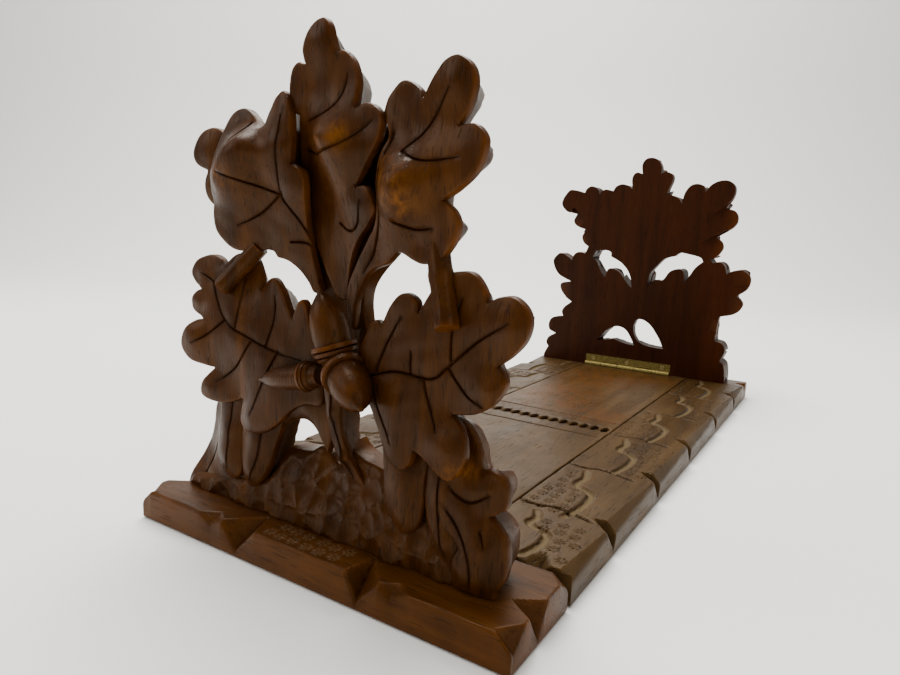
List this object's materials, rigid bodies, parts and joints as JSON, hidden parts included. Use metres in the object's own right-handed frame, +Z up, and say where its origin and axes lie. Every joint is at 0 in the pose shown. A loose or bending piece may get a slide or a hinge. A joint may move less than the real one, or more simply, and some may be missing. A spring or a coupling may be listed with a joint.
{
  "type": "bible stand",
  "caption": "Extending bible stand: two pierced oak-leaf end panels on brass hinges fold down onto a carved sliding base.",
  "frame": {"origin": "centre of the base on the surface it stands on, with the slide closed", "axes": "+Y along the slide from the near end board to the far one, +X across the base, +Z up"},
  "size_m": [0.1714, 0.412, 0.1885],
  "materials": {
    "carved_wood": "stained, waxed, satin",
    "base_wood": "worn, open grain, waxed",
    "brass": "aged, dull",
    "screw_steel": "aged, dull"
  },
  "bodies": {
    "base": {"far_end_board": "base_wood", "left_rail": "base_wood", "right_rail": "base_wood", "rail_strap": "brass", "far_hinge_base_leaf": "brass", "far_hinge_pin": "brass", "far_base_screw_1": "brass", "far_base_screw_2": "brass", "far_base_screw_3": "brass", "left_rail_screw_1": "screw_steel", "left_rail_screw_2": "screw_steel", "right_rail_screw_1": "screw_steel", "right_rail_screw_2": "screw_steel", "left_strap_screw_1": "screw_steel", "left_strap_screw_2": "screw_steel", "right_strap_screw_1": "screw_steel", "right_strap_screw_2": "screw_steel"},
    "slide": {"near_end_board": "base_wood", "centre_slat": "base_wood", "near_hinge_base_leaf": "brass", "near_hinge_pin": "brass", "slat_screw_1": "screw_steel", "slat_screw_2": "screw_steel", "slat_screw_3": "screw_steel", "stop_screw": "screw_steel", "near_base_screw_1": "brass", "near_base_screw_2": "brass", "near_base_screw_3": "brass"},
    "near_end": {"near_panel": "carved_wood", "near_hinge_panel_leaf": "brass", "near_panel_screw_1": "brass", "near_panel_screw_2": "brass", "near_panel_screw_3": "brass"},
    "far_end": {"far_panel": "carved_wood", "far_hinge_panel_leaf": "brass", "far_panel_screw_1": "brass", "far_panel_screw_2": "brass", "far_panel_screw_3": "brass"}
  },
  "joints": [
    {"name": "slide_draw", "type": "slide", "parent": "base", "child": "slide", "axis": [0, -1, 0], "range_m": [0, 0.2]},
    {"name": "near_panel_fold", "type": "hinge", "parent": "slide", "child": "near_end", "pos_m": [-0.006, -0.1727, 0.0133], "axis": [-1, 0, 0], "range_deg": [0, 90]},
    {"name": "far_panel_fold", "type": "hinge", "parent": "base", "child": "far_end", "pos_m": [-0.006, 0.1832, 0.0133], "axis": [1, 0, 0], "range_deg": [0, 90]}
  ]
}
